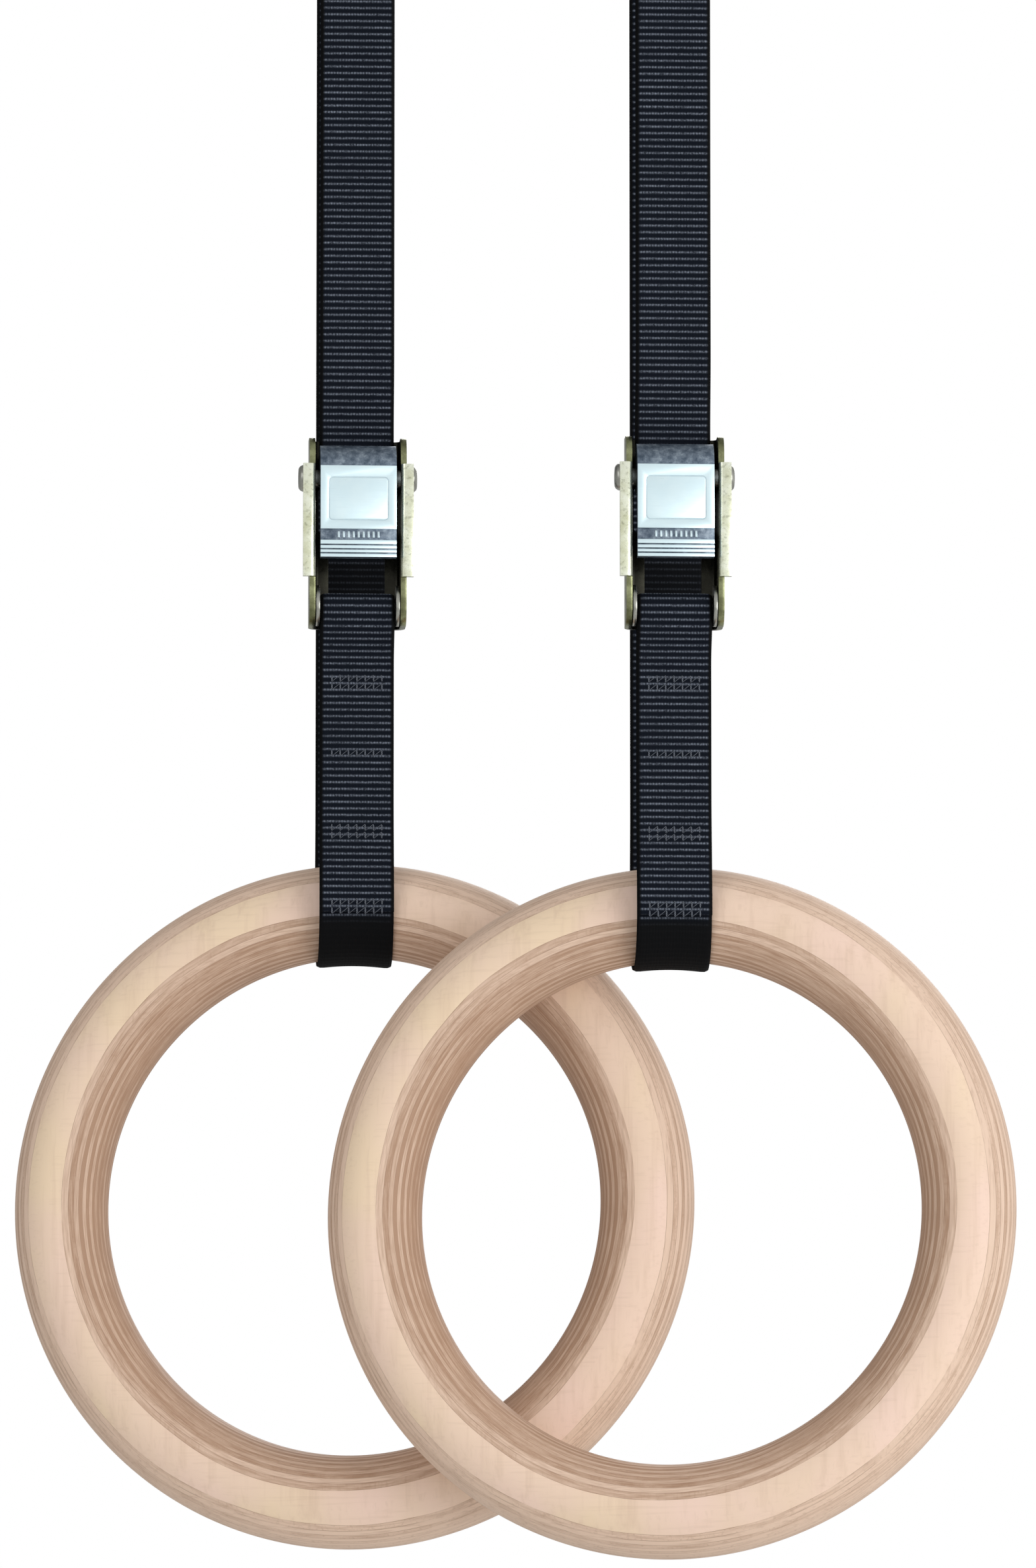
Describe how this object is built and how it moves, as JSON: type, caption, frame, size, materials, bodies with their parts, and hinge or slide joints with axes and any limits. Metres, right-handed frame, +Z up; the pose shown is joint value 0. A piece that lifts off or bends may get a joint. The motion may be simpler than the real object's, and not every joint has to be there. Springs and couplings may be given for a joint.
{
  "type": "gymnastics rings",
  "caption": "Pair of round wooden gymnastics rings on dark webbing straps, each with a metal cam buckle, a sewn loop and a thumb lever.",
  "frame": {"origin": "midway between the axes of the two bars that the top loops hang over", "axes": "+Z up along the straps, +X to the right across the two sets, and the buckles face -Y"},
  "size_m": [0.3352, 0.1322, 0.5935],
  "materials": {
    "birch": "pale birch plywood, turned and sanded, unvarnished",
    "webbing": "near-black woven webbing with fine cross ribs",
    "thread": "dark bonded sewing thread",
    "zinc_yellow": "yellow passivated zinc plate on steel",
    "zinc_cast": "satin zinc die casting, cool grey",
    "steel": "bright steel"
  },
  "bodies": {
    "anchor": {"left_top_loop": "webbing", "right_top_loop": "webbing"},
    "left_strap": {"left_front_webbing": "webbing", "left_rear_webbing": "webbing", "left_sewn_fold": "webbing", "left_buckle_frame": "zinc_yellow", "left_fixed_bar": "steel", "left_lever_pin": "steel", "left_lever_spring": "steel", "left_bar_tack_1": "thread", "left_bar_tack_2": "thread"},
    "left_lever": {"left_cam_lever": "zinc_cast"},
    "left_loop": {"left_ring_bight": "webbing", "left_sewn_end": "webbing", "left_bar_tack_3": "thread", "left_bar_tack_4": "thread"},
    "left_ring": {"left_ring": "birch"},
    "right_strap": {"right_front_webbing": "webbing", "right_rear_webbing": "webbing", "right_sewn_fold": "webbing", "right_buckle_frame": "zinc_yellow", "right_fixed_bar": "steel", "right_lever_pin": "steel", "right_lever_spring": "steel", "right_bar_tack_1": "thread", "right_bar_tack_2": "thread"},
    "right_lever": {"right_cam_lever": "zinc_cast"},
    "right_loop": {"right_ring_bight": "webbing", "right_sewn_end": "webbing", "right_bar_tack_3": "thread", "right_bar_tack_4": "thread"},
    "right_ring": {"right_ring": "birch"}
  },
  "joints": [
    {"name": "left_swing", "type": "hinge", "parent": "anchor", "child": "left_strap", "pos_m": [-0.0525, 0.029, 0.004], "axis": [1, 0, 0], "range_deg": [0, 45]},
    {"name": "left_lever_press", "type": "hinge", "parent": "left_strap", "child": "left_lever", "pos_m": [-0.0525, 0.005, -0.1982], "axis": [1, 0, 0], "range_deg": [0, 25], "stiffness_Nm_per_rad": 0.15, "springref_deg": -28.65, "deforming": ["left_lever_spring"]},
    {"name": "left_strap_turn", "type": "hinge", "parent": "left_strap", "child": "left_loop", "pos_m": [-0.0525, 0.029, -0.446], "axis": [0, 0, 1], "range_deg": [0, 60], "stiffness_Nm_per_rad": 0.03},
    {"name": "left_ring_spin", "type": "hinge", "parent": "left_loop", "child": "left_ring", "pos_m": [-0.0525, 0.029, -0.446], "axis": [0.2079, 0.9781, 0], "continuous": true},
    {"name": "right_swing", "type": "hinge", "parent": "anchor", "child": "right_strap", "pos_m": [0.0525, -0.029, -0.004], "axis": [1, 0, 0], "range_deg": [-45, 0]},
    {"name": "right_lever_press", "type": "hinge", "parent": "right_strap", "child": "right_lever", "pos_m": [0.0525, -0.053, -0.2062], "axis": [1, 0, 0], "range_deg": [0, 25], "stiffness_Nm_per_rad": 0.15, "springref_deg": -28.65, "deforming": ["right_lever_spring"]},
    {"name": "right_strap_turn", "type": "hinge", "parent": "right_strap", "child": "right_loop", "pos_m": [0.0525, -0.029, -0.454], "axis": [0, 0, 1], "range_deg": [0, 60], "stiffness_Nm_per_rad": 0.03},
    {"name": "right_ring_spin", "type": "hinge", "parent": "right_loop", "child": "right_ring", "pos_m": [0.0525, -0.029, -0.454], "axis": [0.2079, 0.9781, 0], "continuous": true}
  ]
}
